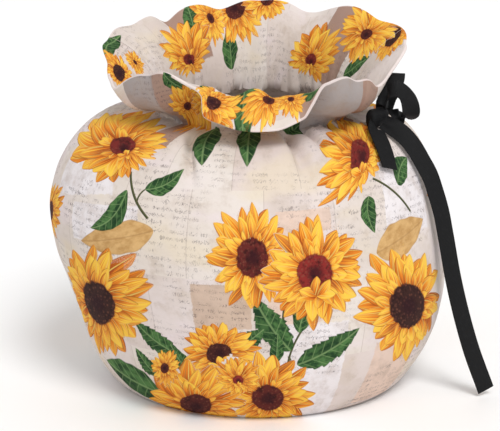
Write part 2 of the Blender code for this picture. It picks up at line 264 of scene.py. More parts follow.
def cloth_normal(azimuth, along, place=cloth_point):
    """Outward direction, the same on both sides of a seam."""
    low = np.maximum(along - STEP_ALONG, 0.0)
    high = np.minimum(along + STEP_ALONG, 2.0)
    across = place(azimuth + STEP_ROUND, along) - place(azimuth - STEP_ROUND, along)
    upward = place(azimuth, high) - place(azimuth, low)
    normal = np.cross(across, upward)
    return normal / np.linalg.norm(normal, axis=-1, keepdims=True)


# Soft creases left by the folding and pulling of the cloth, each a trough along a line: start and end
# across and up the cloth, half width, depth.
CREASES = (
    (-52.0, 180.0, -31.0, 138.0, 2.4, 5.0),
    (27.5, 188.0, 32.0, 134.0, 5.0, 5.4),
    (46.0, 190.0, 50.0, 158.0, 2.6, 3.0),
    (50.0, 162.0, 71.0, 130.0, 2.0, 2.4),
    (65.0, 142.0, 67.0, 112.0, 4.5, 1.6),
    (84.0, 190.0, 92.0, 156.0, 4.0, 2.4),
    (-12.0, 190.0, -8.0, 166.0, 5.0, 1.2),
    (-96.0, 186.0, -104.0, 160.0, 6.0, 1.2),
    (118.0, 188.0, 128.0, 150.0, 7.0, 1.4),
    (232.0, 188.0, 226.0, 140.0, 7.0, 1.8),
    (300.0, 188.0, 306.0, 150.0, 6.0, 1.6),
    (366.0, 188.0, 356.0, 146.0, 7.0, 1.6),
    (424.0, 188.0, 430.0, 152.0, 6.0, 1.4),
)
CREASE_HOLDS = 0.5         # share of a crease's length that it keeps its depth for
GATHERS = ((37.0, 0.4, 0.8), (53.0, 2.1, 0.6), (71.0, 4.0, 0.4))   # folds round the neck, start, depth
GATHER_REACH = 13.0
SLACK_DEPTH = 0.35         # waves of the loose cloth, from above the hem up to the shoulder
SLACK_FROM, SLACK_UP_TO, SLACK_END = 20.0, 140.0, 190.0
CLOTH_PER_DEGREE = 1.8     # millimetres of cloth to a degree round the body
CLOTH_ROUND = 360.0 * CLOTH_PER_DEGREE
FRILL_LENGTH = 47.0
BODY_ROWS, FRILL_ROWS, RIM_ROWS = 112, 36, 3     # up the body, up the frill and over its rim
OPENING_BOW = 0.8          # below 1 the openings in the seams are fuller towards their ends


def round_cloth(across):
    """Shortest way round the cloth, to either side."""
    return (across + CLOTH_ROUND / 2.0) % CLOTH_ROUND - CLOTH_ROUND / 2.0


def up_the_cloth(along):
    return np.minimum(along, 1.0) * BODY_LENGTH + np.maximum(along - 1.0, 0.0) * FRILL_LENGTH


def crease_depth(azimuth, along):
    across = azimuth * CLOTH_PER_DEGREE
    up = up_the_cloth(along)
    depth = np.zeros_like(across)
    for start_s, start_t, end_s, end_t, half_width, deepest in CREASES:
        run = np.array([end_s - start_s, end_t - start_t])
        length = float(np.hypot(*run))
        run = run / length
        off = round_cloth(across - start_s)
        reach = np.clip((off * run[0] + (up - start_t) * run[1]) / length, -0.2, 1.2)
        aside = off * run[1] - (up - start_t) * run[0]
        past = (reach - CREASE_HOLDS) / (1.0 - CREASE_HOLDS)
        fade = smooth_step((reach + 0.1) / 0.2) * (1.0 - smooth_step(past))
        depth = depth + deepest * fade * np.exp(-((aside / half_width) ** 2))
    from_neck = np.abs(up - BODY_LENGTH)
    turn = np.radians(azimuth)
    for folds, start, deepest in GATHERS:
        uneven = 0.9 * np.sin(turn * 5.0 + start)
        wave = 0.5 + 0.5 * np.sin(turn * folds + start + uneven)
        depth = depth + deepest * wave * np.exp(-from_neck / GATHER_REACH)
    slack = np.sin(across / 31.0 + up / 47.0) * np.sin(up / 29.0 - across / 63.0 + 1.0)
    tight = smooth_step((up - SLACK_UP_TO) / (SLACK_END - SLACK_UP_TO))
    return depth + SLACK_DEPTH * (1.0 + slack) * smooth_step(up / SLACK_FROM) * (1.0 - tight)


def draped_point(azimuth, along):
    sink = crease_depth(azimuth, along)[..., None]
    return cloth_point(azimuth, along) - cloth_normal(azimuth, along) * sink


def slot_half_angle(side, along):
    azimuth = -SEAM if side == "left" else SEAM
    point = cloth_point(np.full_like(along, azimuth), along)
    radius = np.hypot(point[..., 0] - AXIS_X, point[..., 1])
    half = np.full_like(along, SEAM_GAP / 2.0)
    for name, lowest, highest, widest in SLOTS:
        if name == side:
            t = np.clip((point[..., 2] - lowest) / (highest - lowest), 0.0, 1.0)
            half = half + np.where(along < 1.0, widest * np.sin(math.pi * t) ** OPENING_BOW, 0.0)
    return np.degrees(half / radius)


def take_up(name, mesh):
    """A new piece of the mesh, the only one selected."""
    piece = bpy.data.objects.new(name, mesh)
    bpy.context.scene.collection.objects.link(piece)
    bpy.ops.object.select_all(action="DESELECT")
    bpy.context.view_layer.objects.active = piece
    piece.select_set(True)
    return piece


def over_rim(rows):
    """Rows of the outer face, then the edge's own row again over the rim, then back down the inner face."""
    return np.concatenate([rows, np.repeat(rows[-1:], RIM_ROWS, axis=0), rows[::-1]])


def sew_panel(name, first, last, first_side, last_side, columns):
    """One panel as a closed sheet: up its outer face, over the frill's rim and down its inner face."""
    up_frill = np.linspace(1.0, 2.0, FRILL_ROWS + 1)[1:]
    along = np.concatenate([np.linspace(0.0, 1.0, BODY_ROWS + 1), up_frill])
    start = first + slot_half_angle(first_side, along)
    end = last - slot_half_angle(last_side, along)
    share = np.linspace(0.0, 1.0, columns + 1)
    azimuth = start[:, None] * (1.0 - share) + end[:, None] * share
    rows = np.repeat(along[:, None], columns + 1, axis=1)
    outer = draped_point(azimuth, rows)
    normal = cloth_normal(azimuth, rows, draped_point)
    inner = outer - CLOTH * normal
    outer[0, :, 2] = 0.0
    run = (0.0 - inner[0, :, 2]) / (inner[1, :, 2] - inner[0, :, 2])
    inner[0] = inner[0] + (inner[1] - inner[0]) * run[:, None]
    beyond = outer[-1] - outer[-2]
    beyond = beyond / np.linalg.norm(beyond, axis=-1, keepdims=True)
    middle = (outer[-1] + inner[-1]) / 2.0
    rim = []
    for k in range(1, RIM_ROWS + 1):
        turn = math.pi * k / (RIM_ROWS + 1.0)
        rim.append(middle + CLOTH / 2.0 * (math.cos(turn) * normal[-1] + math.sin(turn) * beyond))
    points = np.concatenate([outer, np.array(rim), inner[::-1]])
    loop = len(points)
    across = over_rim(azimuth) * CLOTH_PER_DEGREE
    up = up_the_cloth(over_rim(rows))
    face_row = np.arange(loop)
    last_row = len(along) - 1
    side_of_row = np.where(face_row <= last_row + RIM_ROWS // 2, OUTSIDE, INSIDE)
    on_rim = (face_row >= last_row) & (face_row <= last_row + RIM_ROWS)
    on_rim[loop - 1] = True     # the hem's edge

    corner = np.arange(loop * (columns + 1)).reshape(loop, columns + 1)
    above = np.roll(corner, -1, axis=0)
    quads = np.stack([corner[:, :-1], corner[:, 1:], above[:, 1:], above[:, :-1]], axis=-1).reshape(-1, 4)
    sides = np.repeat(side_of_row, columns)
    rims = np.repeat(on_rim, columns)
    across_up = np.stack([across, up], axis=-1).reshape(-1, 2)
    caps = []
    for j in range(last_row):
        facing = loop - 1 - j
        caps.append([corner[j, 0], corner[j + 1, 0], corner[facing - 1, 0], corner[facing, 0]])
        caps.append([corner[facing, -1], corner[facing - 1, -1], corner[j + 1, -1], corner[j, -1]])
    rim_loop = list(range(last_row, last_row + RIM_ROWS + 2))
    caps.append([corner[j, 0] for j in rim_loop])
    caps.append([corner[j, -1] for j in rim_loop[::-1]])
    faces = [list(map(int, face)) for face in quads] + [list(map(int, face)) for face in caps]
    mesh = bpy.data.meshes.new(name)
    mesh.from_pydata([tuple(p) for p in points.reshape(-1, 3) * 0.001], [], faces)
    mesh.update()
    print_cloth(mesh, across_up, sides, rims)
    panel = take_up(name, mesh)
    bpy.ops.object.shade_smooth_by_angle(angle=math.radians(60.0))
    panel.select_set(False)
    return panel


# The print: sunflowers, leaves and scraps of old paper on a pale pinkish ground, with two grey patches of
# painted shade on the frill's outer face.
# Blooms, the lowest first: side of the cloth (0 outside, 1 inside), across and up the cloth,
# half width, half height, slant, rise, turn, longer petals across and up, size and redness of the disc,
# cup (how far the bloom is tipped, so that front petals hide part of its disc).
BLOOMS = (
    (0, -19.4, 51.5, 24.0, 23.0, 0.06, 0.08, 5.0, 0.0, -0.1, 0.32, 0.1, 1.0),
    (0, 7.4, 21.0, 29.5, 32.0, -0.05, -0.04, 25.0, 0.0, 0.0, 0.35, 0.3, 0.0),
    (0, -87.0, 158.5, 55.0, 32.0, -1.15, 0.2, 0.0, -0.36, 0.42, 0.23, 0.7, 1.0),
    (0, 72.0, 152.5, 29.0, 38.0, 0.85, -0.17, 0.0, -0.38, 0.36, 0.3, 0.7, 1.0),
    (0, 90.5, 67.5, 42.0, 35.0, -0.1, -0.26, 70.0, 0.0, 0.0, 0.4, 0.0, 0.0),
    (0, -0.9, 106.5, 22.0, 29.5, 0.0, 0.0, 15.0, -0.1, 0.0, 0.38, 0.4, 0.0),
    (0, -38.7, 10.5, 37.0, 32.0, 0.21, 0.21, 80.0, -0.1, 0.1, 0.33, 0.2, 0.0),
    (0, 143.0, 120.0, 24.0, 20.0, 0.0, -0.1, 50.0, 0.0, 0.0, 0.4, 0.2, 0.0),
    (0, -97.0, 67.0, 44.0, 36.0, 0.2, 0.24, 35.0, 0.0, 0.0, 0.4, 0.0, 0.0),
    (0, 29.7, 96.5, 29.0, 31.5, 0.0, -0.08, 4.0, 0.0, 0.0, 0.35, 1.0, 1.0),
    (0, -53.6, 37.0, 11.0, 13.0, 0.22, 0.19, 60.0, 0.0, 0.0, 0.28, 0.2, 0.0),
    (0, -9.8, 34.0, 13.5, 14.0, 0.0, 0.0, 0.0, 0.0, 0.2, 0.24, 1.6, 1.0),
    (0, -143.0, 108.0, 25.0, 17.0, 0.0, 0.3, 10.0, 0.0, 0.0, 0.36, 0.2, 0.0),
    (0, -59.0, 206.0, 14.0, 32.0, 0.4, -0.35, 0.0, 0.0, 0.0, 0.18, 0.2, 0.0),
    (0, -46.0, 207.0, 11.0, 27.0, 0.4, -0.35, 30.0, 0.0, 0.1, 0.18, 0.2, 0.0),
    (0, 6.0, 210.0, 20.0, 26.0, 0.0, 0.0, 30.0, 0.0, 0.0, 0.3, 0.3, 0.0),
    (1, -309.0, 236.0, 24.0, 22.0, 0.0, 0.0, 0.0, 0.0, -0.2, 0.34, 0.2, 0.0),
    (1, 314.0, 239.0, 20.0, 15.0, 0.0, 0.0, 10.0, 0.0, 0.0, 0.28, 0.3, 0.0),
    (1, -285.0, 230.0, 16.0, 19.0, -0.2, 0.1, 0.0, 0.1, 0.0, 0.2, 0.2, 0.0),
    (1, -249.0, 205.0, 30.0, 18.0, -0.25, 0.0, 0.0, 0.05, 0.55, 0.22, 0.7, 1.0),
    (1, 261.0, 203.5, 29.0, 18.0, -0.3, 0.05, 0.0, -0.05, 0.55, 0.22, 0.7, 1.0),
    (1, 187.0, 232.0, 27.0, 16.0, 0.6, 0.0, 10.0, 0.0, 0.0, 0.44, 0.0, 0.0),
    (1, 210.0, 228.0, 30.0, 21.0, 0.4, -0.15, 10.0, 0.0, 0.0, 0.19, 0.2, 0.0),
    (1, -146.0, 229.0, 24.0, 16.0, -1.1, 0.35, 10.0, -0.1, 0.2, 0.46, 0.0, 0.0),
    (1, -174.0, 217.0, 15.0, 12.0, -1.1, 0.3, 10.0, 0.0, 0.0, 0.2, 0.2, 0.0),
    (1, -30.0, 230.0, 18.0, 17.0, 0.2, -0.4, 20.0, 0.35, 0.2, 0.26, 0.1, 0.0),
    (1, 8.5, 222.0, 17.5, 18.0, -0.5, -0.1, 0.0, 0.1, 0.0, 0.26, 0.2, 0.0),
    (1, 26.0, 223.0, 13.0, 16.0, -0.25, 0.3, 10.0, 0.1, 0.0, 0.2, 0.2, 0.0),
)
# Leaves, the lowest first: side, across and up at the base and at the tip, half width, bend, kind
# (1 smooth, 2 toothed, 3 dry and pale, 4 stem).
LEAVES = (
    (0, -73.2, 146.0, -55.4, 123.4, 0.9, -0.06, 4),
    (0, 72.5, 141.0, 96.3, 118.3, 0.9, 0.06, 4),
    (0, 15.8, 87.9, 18.6, 47.0, 0.8, -0.08, 4),
    (0, 26.6, 69.9, 17.4, 46.0, 0.7, -0.06, 4),
    (0, -63.0, 129.5, -60.5, 138.0, 0.6, 0.15, 4),
    (0, -51.3, 117.5, -99.0, 103.0, 9.0, 0.02, 3),
    (0, 65.7, 102.1, 108.5, 111.6, 10.2, 0.0, 3),
    (0, 22.1, 63.9, 30.6, 88.2, 5.4, 0.06, 1),
    (0, 18.4, 53.0, -1.0, 86.0, 8.2, 0.04, 2),
    (0, -43.0, 48.1, -68.5, 64.5, 7.6, 0.08, 2),
    (0, -60.5, 138.0, -41.9, 151.6, 5.4, -0.14, 1),
    (0, -71.0, 136.0, -91.0, 112.0, 6.2, 0.18, 1),
    (0, 90.5, 134.4, 111.6, 145.9, 6.6, 0.12, 1),
    (0, 67.0, 132.5, 65.7, 112.7, 5.8, -0.14, 1),
    (0, 22.4, 44.0, 56.2, 62.6, 8.8, -0.05, 2),
    (0, -60.0, 30.2, -72.5, 46.0, 6.0, 0.06, 2),
    (0, -38.0, 37.0, -47.0, 54.0, 5.6, 0.05, 1),
    (0, -8.0, 55.0, 4.5, 67.0, 5.6, 0.0, 2),
    (0, -62.0, 17.0, -112.0, 27.0, 14.0, 0.02, 1),
    (0, 11.0, 46.0, 11.3, 64.5, 3.8, 0.0, 1),
    (0, -41.0, 192.0, -31.5, 154.0, 10.5, 0.0, 1),
    (0, -5.6, 205.0, -5.0, 154.0, 9.8, 0.0, 1),
    (0, 22.0, 200.0, 46.0, 183.0, 8.5, 0.1, 1),
    (0, -62.0, 239.0, -52.0, 222.0, 6.0, 0.0, 1),
    (1, -7.0, 206.0, -8.0, 246.0, 9.5, 0.0, 1),
    (1, -297.0, 198.0, -299.5, 224.0, 8.0, 0.0, 1),
    (1, 212.0, 201.0, 189.0, 214.5, 7.0, 0.05, 1),
    (1, -266.0, 222.0, -270.0, 241.0, 7.0, 0.0, 1),
    (1, 228.0, 228.0, 206.0, 240.0, 7.0, 0.0, 1),
    (1, -331.0, 231.0, -324.0, 241.0, 6.0, 0.0, 1),
    (1, -160.0, 239.0, -194.0, 234.0, 6.0, 0.0, 1),
    (1, -38.0, 226.0, -32.0, 241.0, 5.0, 0.0, 1),
    (1, 44.0, 238.0, 38.0, 222.0, 6.0, 0.0, 1),
)
# Scraps of paper, and grey patches of painted shade: side, across and up, half width, half height, turn,
# kind (1 brown, 2 beige, 3 pink, 4 pale, 5 grey painted shade).
SCRAPS_AND_PAINTED_SHADE = (
    (0, -17.0, 79.0, 15.0, 13.0, 2.0, 2),
    (0, 25.0, 124.0, 15.0, 6.0, 1.0, 3),
    (0, 20.0, 78.0, 14.0, 9.0, 1.0, 3),
    (0, 31.0, 33.0, 18.5, 36.0, 0.0, 4),
    (0, 86.0, 28.0, 19.0, 22.0, -4.0, 3),
    (0, 96.0, 128.0, 20.0, 20.0, -8.0, 4),
    (0, -110.0, 150.0, 26.0, 24.0, 12.0, 4),
    (0, -84.0, 116.0, 24.0, 10.0, 8.0, 4),
    (0, -68.0, 204.0, 11.0, 40.0, -4.0, 1),
    # The two grey rows of kind 5 are painted shade on the frill's outer face, left and right of the front,
    # where its underside lies in shadow.
    (0, -92.0, 218.0, 16.0, 26.0, -4.0, 5),
    (0, 60.0, 216.0, 28.0, 27.0, 4.0, 5),
    (0, 96.0, 214.0, 11.5, 30.0, 6.0, 1),
    (1, 39.0, 228.0, 11.0, 16.0, 0.0, 1),
    (1, -261.0, 226.0, 14.0, 24.0, -12.0, 1),
    (1, 233.0, 222.0, 19.0, 30.0, 18.0, 1),
)
PRINT_REPEAT = CLOTH_ROUND / 2.0     # the back panel is cut from the same printed length
BLOOM_SLOTS, LEAF_SLOTS, SCRAP_SLOTS = 3, 3, 2     # motifs that may lie over one another on a face
OUT_OF_REACH = 9.0     # place in a motif where there is none
OUTSIDE, INSIDE, RIM = 0, 1, 2     # side of the cloth that a face belongs to


def print_cloth(mesh, across_up, sides, rims):
    """Gives each face the blooms, leaves and scraps of paper printed there, as places within the motif.
    Across the cloth is s and up the cloth is t."""
    corner = np.empty(len(mesh.loops), dtype=np.int32)
    mesh.loops.foreach_get("vertex_index", corner)
    quads = len(sides)
    across = across_up[corner, 0]
    up = across_up[corner, 1]
    face_across = across[:quads * 4].reshape(-1, 4).mean(axis=1)
    face_up = up[:quads * 4].reshape(-1, 4).mean(axis=1)

    def put(name, values):
        layer = mesh.attributes.new(name, "FLOAT_VECTOR", "CORNER")
        layer.data.foreach_set("vector", values.astype(np.float32).ravel())

    def stack(label, motifs, depth, reach, local):
        """Up to a few motifs over one another on each face, the last in the table on top."""
        place = np.full((depth, quads * 4, 3), OUT_OF_REACH)
        kind = np.zeros((depth, quads * 4, 3))
        taken = np.zeros(quads, dtype=int)
        for index, motif in reversed(list(enumerate(motifs))):
            for shift in (0.0, PRINT_REPEAT) if motif[0] == OUTSIDE else (0.0,):
                x, y, _, _ = local(motif, face_across, face_up, shift)
                near = np.nonzero((sides == motif[0]) & reach(motif, x, y) & (taken < depth))[0]
                at = (near[:, None] * 4 + np.arange(4)).ravel()
                layer = np.repeat(taken[near], 4)
                x, y, tip, marks = local(motif, across[at], up[at], shift)
                place[layer, at] = np.stack([x, y, np.full_like(x, tip)], axis=-1)
                seed = 0.37 * index + 0.013 * shift + 1.0
                kind[layer, at] = (*marks, seed)
                taken[near] += 1
        rest = np.zeros((len(corner) - quads * 4, 3))
        for layer in range(depth):
            put(f"{label}_{layer + 1}", np.concatenate([place[layer], rest + OUT_OF_REACH]))
            put(f"{label}_{layer + 1}_kind", np.concatenate([kind[layer], rest]))

    def bloom_local(motif, s, t, shift):
        _, s0, t0, wide, high, slant, rise, turn, far_x, far_y, disc, redness, cup = motif
        ds = round_cloth(s - s0 - shift)
        dt = t - t0
        x = (ds - slant * dt) / wide
        y = (dt - rise * ds) / high
        r = np.maximum(np.hypot(x, y), 1e-6)
        longer = 1.0 + far_x * x / r + far_y * y / r
        a = math.radians(turn)
        turned_x = (x * math.cos(a) + y * math.sin(a)) / longer
        turned_y = (y * math.cos(a) - x * math.sin(a)) / longer
        return turned_x, turned_y, cup, (disc, redness)

    def leaf_local(motif, s, t, shift):
        _, s0, t0, s1, t1, half, bend, kind = motif
        length = math.hypot(s1 - s0, t1 - t0)
        run = ((s1 - s0) / length, (t1 - t0) / length)
        ds = round_cloth(s - s0 - shift)
        dt = t - t0
        x = (ds * run[0] + dt * run[1]) / length
        y = (dt * run[0] - ds * run[1]) - bend * length * 4.0 * x * (1.0 - x)
        return x, y / half, 0.0, (kind, 0.0)

    def scrap_local(motif, s, t, shift):
        _, s0, t0, wide, high, turn, kind = motif
        a = math.radians(turn)
        ds = round_cloth(s - s0 - shift)
        dt = t - t0
        x = (ds * math.cos(a) + dt * math.sin(a)) / wide
        y = (dt * math.cos(a) - ds * math.sin(a)) / high
        return x, y, 0.0, (kind, 0.0)

    def in_bloom(motif, x, y):
        return np.hypot(x, y) < 1.12

    def in_leaf(motif, x, y):
        return (np.abs(x - 0.5) < 0.56) & (np.abs(y) < 1.1 + 2.0 / motif[5])

    def in_scrap(motif, x, y):
        return np.maximum(np.abs(x), np.abs(y)) < 1.15

    stack("bloom", BLOOMS, BLOOM_SLOTS, in_bloom, bloom_local)
    stack("leaf", LEAVES, LEAF_SLOTS, in_leaf, leaf_local)
    stack("scrap", SCRAPS_AND_PAINTED_SHADE, SCRAP_SLOTS, in_scrap, scrap_local)
    where = np.stack([across, up, np.full_like(up, RIM)], axis=-1)
    where[:quads * 4, 2] = np.repeat(np.where(rims, RIM, sides), 4)
    put("cloth", where)


def add_node(kind, values, **settings):
    """A node in the tree that its values come from: sockets are linked, others set, and None is left."""
    tree = next(value.id_data for value in values if isinstance(value, bpy.types.NodeSocket))
    node = tree.nodes.new("ShaderNode" + kind)
    for setting, choice in settings.items():
        setattr(node, setting, choice)
    for socket, value in zip(node.inputs, values):
        if isinstance(value, bpy.types.NodeSocket):
            tree.links.new(value, socket)
        elif value is not None:
            socket.default_value = value
    return node


def number(how, *values):
    return add_node("Math", values, operation=how).outputs[0]


def times(value, by):
    return number("MULTIPLY", value, by)


def plus(value, added):
    return number("ADD", value, added)


def minus(value, taken):
    return number("SUBTRACT", value, taken)


def scaled(value, by, added):
    return number("MULTIPLY_ADD", value, by, added)


def between(share, low, high):
    return scaled(share, high - low, low)


def held(value, low, high):
    return number("MINIMUM", number("MAXIMUM", value, low), high)


def unsigned(value):
    return number("ABSOLUTE", value)


def from_middle(x, y):
    return number("SQRT", scaled(x, x, times(y, y)))


def is_kind(kind, wanted):
    return number("COMPARE", kind, wanted, 0.2)


def ease(value, low, high, from_value=0.0, to_value=1.0):
    """Soft step from one value to the other."""
    values = (value, low, high, from_value, to_value)
    return add_node("MapRange", values, interpolation_type="SMOOTHSTEP").outputs[0]


def lay(share, under, over):
    """One colour laid over another."""
    return add_node("Mix", (share, *[None] * 5, under, over), data_type="RGBA").outputs[2]


def place_of(x, y, z=0.0):
    return add_node("CombineXYZ", (x, y, z)).outputs[0]


def parts_of(vector):
    return add_node("SeparateXYZ", (vector,)).outputs


def push_out(cover, place):
    """Moves a place off its bloom where another bloom already covers it."""
    values = (cover, (OUT_OF_REACH, OUT_OF_REACH, 0.0), place)
    return add_node("VectorMath", values, operation="MULTIPLY_ADD").outputs[0]


def fleck(vector, scale, detail=2.0, roughness=0.5):
    return add_node("TexNoise", (vector, None, scale, detail, roughness)).outputs["Fac"]


def ripple(value, *waves):
    """Uneven wave along a value, about 0.5: each wave gives its frequency and its height."""
    total = 0.5
    for pace, height in waves:
        total = scaled(number("SINE", times(value, pace)), height, total)
    return total


def chance(value):
    """Three random shares for a value."""
    shares = []
    for pace, spread in ((12.99, 437.5), (78.23, 289.1), (37.72, 531.7)):
        wave = number("SINE", times(value, pace))
        shares.append(number("FRACT", times(wave, spread)))
    return shares


def carried(tree, name):
    """Values that the mesh carries under that name."""
    node = tree.nodes.new("ShaderNodeAttribute")
    node.attribute_name = name
    return node.outputs["Vector"]


def paint(*red_green_blue):
    """A printer's colour, given in the usual 0 to 255 scale."""
    shares = [((c / 255.0 + 0.055) / 1.055) ** 2.4 if c > 10 else c / 3294.6 for c in red_green_blue]
    return (*shares, 1.0)


def start_group(name, ins, outs):
    tree = bpy.data.node_groups.new(name, "ShaderNodeTree")
    for way, sockets in (("INPUT", ins), ("OUTPUT", outs)):
        for label, kind in sockets:
            tree.interface.new_socket(label, in_out=way, socket_type=kind)
    return tree, tree.nodes.new("NodeGroupInput").outputs, tree.nodes.new("NodeGroupOutput").inputs


def use_group(group, *values):
    return add_node("Group", values, node_tree=group).outputs


# A ring of painted petals round a disc, each with its own length, tone, streaks and darker edges.
FLOAT, VECTOR, COLOUR = "NodeSocketFloat", "NodeSocketVector", "NodeSocketColor"
PETAL_SIZES = ("Seed", "Count", "Turn", "Root", "Reach", "Wide", "Warm")
MOTIF_INS, MOTIF_OUTS = (("Place", VECTOR), ("Kind", VECTOR)), (("Cover", FLOAT), ("Colour", COLOUR))
petals, given, result = start_group(
    "petals", [("Place", VECTOR)] + [(label, FLOAT) for label in PETAL_SIZES], MOTIF_OUTS
)
x, y, _ = parts_of(given["Place"])
radius = from_middle(x, y)
turn = number("DIVIDE", number("ARCTAN2", y, x), 2.0 * math.pi)
cell = plus(times(turn, given["Count"]), given["Turn"])
index = number("FLOOR", cell)
aside = minus(minus(cell, index), 0.5)
index = number("FLOORED_MODULO", index, given["Count"])
own_seed = scaled(given["Seed"], 17.3, index)
shift_share, length_share, width_share = chance(own_seed)

# Outline of the petal: its own shift and length, tapered towards the tip and a little bent.
aside = plus(aside, between(shift_share, -0.13, 0.13))
length = times(given["Reach"], between(length_share, 1.0, 0.78))
along_petal = number("DIVIDE", minus(radius, given["Root"]), minus(length, given["Root"]))
inside = held(along_petal, 0.0, 1.0)
taper = number("POWER", minus(1.0, inside), 0.82)
swell = number("POWER", plus(inside, 0.14), 0.72)
half = times(times(taper, swell), given["Wide"])
half = times(half, between(width_share, 0.8, 1.2))
bend = ripple(scaled(own_seed, 2.3, radius), (4.3, 0.5))
spacing = number("DIVIDE", 2.0 * math.pi, given["Count"])
offset = plus(times(times(aside, radius), spacing), between(bend, -0.05, 0.05))
margin = minus(half, unsigned(offset))
cover = ease(margin, -0.004, 0.012)
length_left = times(ease(along_petal, -0.7, -0.5), ease(along_petal, 1.0, 0.97))
petals.links.new(times(cover, length_left), result["Cover"])

# Its colour: yellow, orange and brown towards the root, streaked along, one side and the edge darker.
side_of_petal = number("DIVIDE", offset, number("MAXIMUM", half, 0.01))
side_of_petal = held(side_of_petal, -1.0, 1.0)
streak_place = scaled(radius, 0.9, scaled(own_seed, 5.3, side_of_petal))
streak = ripple(streak_place, (7.1, 0.16), (12.7, 0.13), (23.3, 0.10), (37.1, 0.07))
warmth = plus(ease(along_petal, 0.85, -0.05, 0.0, 1.40), given["Warm"])
warmth = plus(warmth, between(streak, -1.35, 1.25))
warmth = plus(warmth, between(shift_share, -0.45, 0.55))
warmth = plus(warmth, times(side_of_petal, 0.35))
petal = lay(ease(warmth, -0.30, 0.85), paint(242, 198, 74), paint(222, 128, 40))
petal = lay(ease(warmth, 0.75, 1.75), petal, paint(160, 70, 24))
petal = lay(ease(streak, 0.56, 0.82, 0.0, 0.65), petal, paint(250, 224, 118))
shaded = ease(times(side_of_petal, minus(width_share, 0.3)), 0.15, 0.6, 0.0, 0.55)
petal = lay(shaded, petal, paint(184, 94, 26))
outline = ease(side_of_petal, -1.0, 1.0, 0.15, 0.85)
rim = times(ease(margin, 0.030, 0.002), outline)
petal = lay(rim, petal, paint(146, 72, 20))
petals.links.new(petal, result["Colour"])

# A whole bloom: three rows of petals, the back row first, curled short petals round the seeded disc and,
# on a tipped bloom, petals standing in front of the disc.
bloom, given, result = start_group("bloom", MOTIF_INS, MOTIF_OUTS)
disc, redness, seed = parts_of(given["Kind"])
x, y, tipped = parts_of(given["Place"])
radius = from_middle(x, y)
flat = place_of(x, y, seed)
root = times(disc, 0.85)
colour, cover = None, None

# Rows of petals, the back one first: seed, count, turn, length, width, warmth.
for shift, count, turned, reach, wide, warm in (
    (0.0, 19.0, 0.5, 1.05, 0.37, 0.75),
    (3.3, 16.0, 0.0, 0.98, 0.33, 0.2),
    (5.1, 13.0, 0.7, 0.78, 0.26, 0.3),
):
    row = use_group(petals, given["Place"], plus(seed, shift), count, turned, root, reach, wide, warm)
    colour = row["Colour"] if colour is None else lay(row["Cover"], colour, row["Colour"])
    cover = row["Cover"] if cover is None else number("MAXIMUM", cover, row["Cover"])
curl_root, curl_tip = times(disc, 0.7), plus(disc, 0.22)
curled = use_group(petals, given["Place"], plus(seed, 7.7), 15.0, 0.3, curl_root, curl_tip, 0.16, 0.30)
colour = lay(curled["Cover"], colour, curled["Colour"])
cover = number("MAXIMUM", cover, curled["Cover"])
seeds = add_node("TexVoronoi", (flat, None, 17.0))
speck = fleck(flat, 9.0, 3.0, 0.7)
heart = lay(redness, paint(58, 34, 30), paint(134, 44, 40))
heart = lay(ease(seeds.outputs["Distance"], 0.50, 0.12, 0.0, 0.45), heart, paint(128, 78, 62))
heart = lay(ease(speck, 0.45, 0.68, 0.0, 0.75), heart, paint(38, 18, 18))
disc_size = number("MAXIMUM", disc, 0.05)
core = number("DIVIDE", radius, disc_size)
heart = lay(ease(core, 0.60, 0.15, 0.0, 0.8), heart, paint(46, 20, 26))
heart = lay(ease(core, 0.82, 1.0, 0.0, 0.6), heart, paint(96, 34, 18))
ragged = plus(core, between(speck, -0.18, 0.18))
on_disc = ease(ragged, 0.97, 0.88)
colour = lay(on_disc, colour, heart)
cover = number("MAXIMUM", cover, on_disc)
above_root = scaled(disc, 1.15, y)
stand_place, stand_seed = place_of(x, above_root), plus(seed, 9.1)
stand_reach, stand_wide = times(disc, 1.15), times(disc, 0.85)
standing = use_group(petals, stand_place, stand_seed, 7.0, 0.6, 0.02, stand_reach, stand_wide, 0.05)
upper = ease(number("DIVIDE", above_root, disc_size), -0.30, -0.05)
standing_cover = times(times(standing["Cover"], tipped), upper)
colour = lay(standing_cover, colour, standing["Colour"])
bloom.links.new(colour, result["Colour"])
bloom.links.new(cover, result["Cover"])

# A leaf or a stem: a pointed blade with a midrib, side veins and, on some, a toothed edge.
leaf, given, result = start_group("leaf", MOTIF_INS, MOTIF_OUTS)
x, y, _ = parts_of(given["Place"])
kind, _, seed = parts_of(given["Kind"])
aside = unsigned(y)
clipped = held(x, 0.0, 1.0)
blade = number("SINE", times(number("POWER", clipped, 0.75), math.pi))
blade = number("POWER", number("MAXIMUM", blade, 0.0), 0.85)
toothed, dry, stem = is_kind(kind, 2.0), is_kind(kind, 3.0), is_kind(kind, 4.0)
serration = number("FRACT", scaled(x, 8.0, times(aside, -0.5)))
wavy = ripple(plus(x, seed), (13.0, 0.3), (29.0, 0.2))
blade = times(blade, between(wavy, 0.93, 1.07))
cut = times(times(serration, toothed), -0.16)
blade = scaled(blade, cut, blade)
edge = minus(blade, aside)
blade_cover = ease(edge, -0.02, 0.06)
stem_length = times(ease(x, -0.02, 0.01), ease(x, 1.02, 0.99))
stem_cover = times(ease(aside, 1.0, 0.6), stem_length)
cover = plus(times(blade_cover, minus(1.0, stem)), times(stem_cover, stem))
leaf.links.new(cover, result["Cover"])
mottle = fleck(place_of(times(x, 3.0), y, seed), 2.4, 4.0, 0.6)
slant = minus(times(x, 7.0), times(aside, 1.3))
veins = unsigned(minus(number("FRACT", slant), 0.5))
vein = number("MAXIMUM", ease(veins, 0.10, 0.02, 0.0, 0.7), ease(aside, 0.09, 0.03))
green = lay(ease(mottle, 0.35, 0.65), paint(34, 62, 36), paint(78, 116, 66))
green = lay(ease(y, -0.1, 0.1, 0.0, 0.35), green, paint(24, 48, 30))
green = lay(times(vein, 0.5), green, paint(140, 168, 112))
green = lay(ease(edge, 0.10, 0.0, 0.0, 0.5), green, paint(16, 46, 26))
